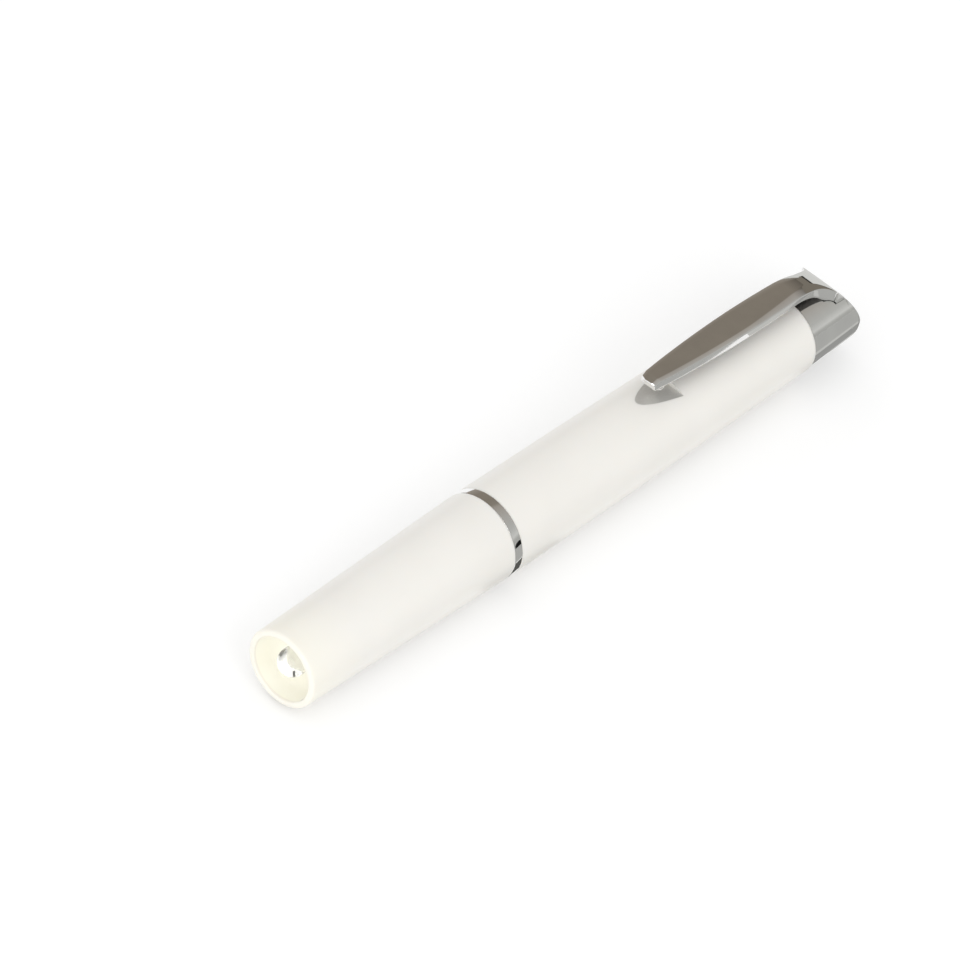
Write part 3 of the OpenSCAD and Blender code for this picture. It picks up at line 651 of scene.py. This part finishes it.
def studio_world():
    """Even white light all round."""
    world = bpy.data.worlds.new("studio")
    bpy.context.scene.world = world
    world.use_nodes = True
    tree = world.node_tree
    sky = tree.nodes["Background"]
    sky.inputs["Color"].default_value = (1, 1, 1, 1)
    tree.links.new(span(tree, shown(tree), 0.9, 1.0), sky.inputs["Strength"])


def lamp(name, place, aim, size, power):
    """A soft square lamp."""
    data = bpy.data.lights.new(name, "AREA")
    data.size = size
    data.energy = power
    thing = bpy.data.objects.new(name, data)
    bpy.context.scene.collection.objects.link(thing)
    thing.location = place
    thing.rotation_mode = "QUATERNION"
    thing.rotation_quaternion = (Vector(aim) - Vector(place)).to_track_quat("-Z", "Y")


# The tent in metres, with the stretch over which its far end dims and to what share
TENT_R, TENT_X0, TENT_X1, TENT_DIM_X, TENT_DIM_END, TENT_DIM_SHARE = 0.9, -1.6, 1.8, 1.0, 1.75, 0.55
# Its shade at angles round its arch, from the floor in front, over the top, to the floor behind
TENT = [(-90, (0.40, 0.40, 0.385)), (-82, (0.42, 0.42, 0.40)), (-74, (0.60, 0.60, 0.58)),
        (-55, (0.47, 0.47, 0.45)), (-25, (0.42, 0.405, 0.38)), (6, (0.34, 0.31, 0.275)),
        (14, (0.24, 0.215, 0.18)), (30, (0.225, 0.197, 0.162)), (62, (0.24, 0.21, 0.175)),
        (90, (0.34, 0.31, 0.27))]


def tent():
    """A long half tunnel over the set that only bright metal and glass see, shaded round its arch."""
    mat, tree, emit = emitter("tent_shade")
    coords = tree.nodes.new("ShaderNodeTexCoord")
    split = tree.nodes.new("ShaderNodeSeparateXYZ")
    tree.links.new(coords.outputs["Object"], split.inputs["Vector"])
    angle = tree.nodes.new("ShaderNodeMath")
    angle.operation = "ARCTAN2"
    tree.links.new(split.outputs["Y"], angle.inputs[0])
    tree.links.new(split.outputs["Z"], angle.inputs[1])
    share = tree.nodes.new("ShaderNodeMapRange")
    share.inputs["From Min"].default_value = -math.pi / 2
    share.inputs["From Max"].default_value = math.pi / 2
    tree.links.new(angle.outputs["Value"], share.inputs["Value"])
    colour = ramp(tree, share.outputs["Result"], [((a + 90) / 180, c) for a, c in TENT])
    tree.links.new(colour, emit.inputs["Color"])
    end = tree.nodes.new("ShaderNodeMapRange")
    end.inputs["From Min"].default_value = TENT_DIM_X
    end.inputs["From Max"].default_value = TENT_DIM_END
    end.inputs["To Min"].default_value = 1.0
    end.inputs["To Max"].default_value = TENT_DIM_SHARE
    tree.links.new(split.outputs["X"], end.inputs["Value"])
    tree.links.new(end.outputs["Result"], emit.inputs["Strength"])
    steps, verts = 90, []
    for k in range(steps + 1):
        a = math.pi * k / steps - math.pi / 2
        verts += [(x, TENT_R * math.sin(a), TENT_R * math.cos(a)) for x in (TENT_X0, TENT_X1)]
    faces = [(2 * k, 2 * k + 1, 2 * k + 3, 2 * k + 2) for k in range(steps)]
    unseen(staged("tent", verts, faces, mat, (0, 0, FLOOR_Z)))


def unseen(thing):
    """Leaves a studio piece to reflections alone."""
    thing.visible_camera = False
    thing.visible_diffuse = False
    thing.visible_shadow = False
    thing.visible_transmission = False


def card(name, corners, shade):
    """A flat card that only bright metal and glass see."""
    mat, tree, emit = emitter(name)
    emit.inputs["Color"].default_value = (*shade, 1.0)
    unseen(staged(name, corners, [(0, 1, 2, 3)], mat))


# Cards just over the floor: height, corners and shade
LEVEL_CARDS = {
    "card_low": (-0.0079, [(-0.6, -0.8), (1.4, -0.8), (1.4, -0.0148), (-0.6, -0.0148)], (0.43, 0.43, 0.415)),
    # Painted shadow in reflections: the dark card under the cap stands for the floor's shade beside the pen
    "card_cap_shadow": (-0.0078, [(0.124, -0.0122), (0.155, -0.0122), (0.155, -0.006), (0.124, -0.006)],
                 (0.33, 0.33, 0.32)),
    "card_mid": (-0.0078, [(0.124, -0.0149), (0.155, -0.0149), (0.155, -0.0122), (0.124, -0.0122)],
                 (0.55, 0.55, 0.53)),
    "card_back": (-0.0079, [(0.13, -0.007), (1.8, -0.007), (1.8, 0.9), (0.95, 0.9)], (0.66, 0.66, 0.64)),
    # Painted shadow in reflections: the dark card under the ring stands for the floor's contact shadow
    "card_foot_shadow": (-0.0077, [(0.044, -0.0075), (0.062, -0.0075), (0.064, -0.014), (0.046, -0.014)],
                  (0.10, 0.10, 0.095)),
    "card_dark": (-0.0078, [(0.07, -0.062), (0.10, -0.04), (0.42, -0.46), (0.38, -0.49)], (0.01, 0.01, 0.01)),
}
# Cards that stand in the tent's far end: lower and upper edge, and shade
END_CARD_X = 1.79
END_CARDS = {"card_end": (0.11, 0.9, (0.19, 0.17, 0.14)), "card_sill": (FLOOR_Z, 0.11, (0.03, 0.028, 0.025))}

floor()
studio_world()
lamp("key", (-0.35, -0.85, 0.75), (0.07, 0, 0), 0.6, 1.6)
lamp("front", (-0.5, -0.12, 0.07), (0.004, 0, 0), 0.25, 0.65)
tent()
for name, (z, corners, shade) in LEVEL_CARDS.items():
    card(name, [(x, y, z) for x, y in corners], shade)
for name, (low, high, shade) in END_CARDS.items():
    corners = [(-TENT_R, low), (TENT_R, low), (TENT_R, high), (-TENT_R, high)]
    card(name, [(END_CARD_X, y, z) for y, z in corners], shade)


# Camera, at the photo's angle: its turn, its place in metres, and the photo's scale

AZIMUTH, ELEVATION, ROLL = math.radians(-56.11), math.radians(43.71), math.radians(12.08)
TARGET, DISTANCE, AIM_RIGHT, AIM_UP = Vector((0.0675, 0, 0.002)), 1.5175, -0.01403, -0.00142
SENSOR, PHOTO_PX, PX_PER_MM = 36.0, 960, 6.16407

data = bpy.data.cameras.new("camera")
camera = bpy.data.objects.new("camera", data)
bpy.context.scene.collection.objects.link(camera)
out = Vector((math.sin(AZIMUTH) * math.cos(ELEVATION), -math.cos(AZIMUTH) * math.cos(ELEVATION),
              math.sin(ELEVATION)))
flat_right = Vector((math.cos(AZIMUTH), math.sin(AZIMUTH), 0))
flat_up = out.cross(flat_right)
right = flat_right * math.cos(ROLL) + flat_up * math.sin(ROLL)
up = flat_up * math.cos(ROLL) - flat_right * math.sin(ROLL)
place = TARGET + out * DISTANCE
aim = TARGET + right * AIM_RIGHT + up * AIM_UP
back = (place - aim).normalized()
right = up.cross(back).normalized()
up = back.cross(right)
camera.matrix_world = Matrix.Translation(place) @ Matrix((right, up, back)).transposed().to_4x4()
data.sensor_width = SENSOR
data.lens = SENSOR * PX_PER_MM * DISTANCE / MM / PHOTO_PX
data.clip_start, data.clip_end = 0.01, 20.0
bpy.context.scene.camera = camera

bpy.context.scene.view_settings.view_transform = "Standard"
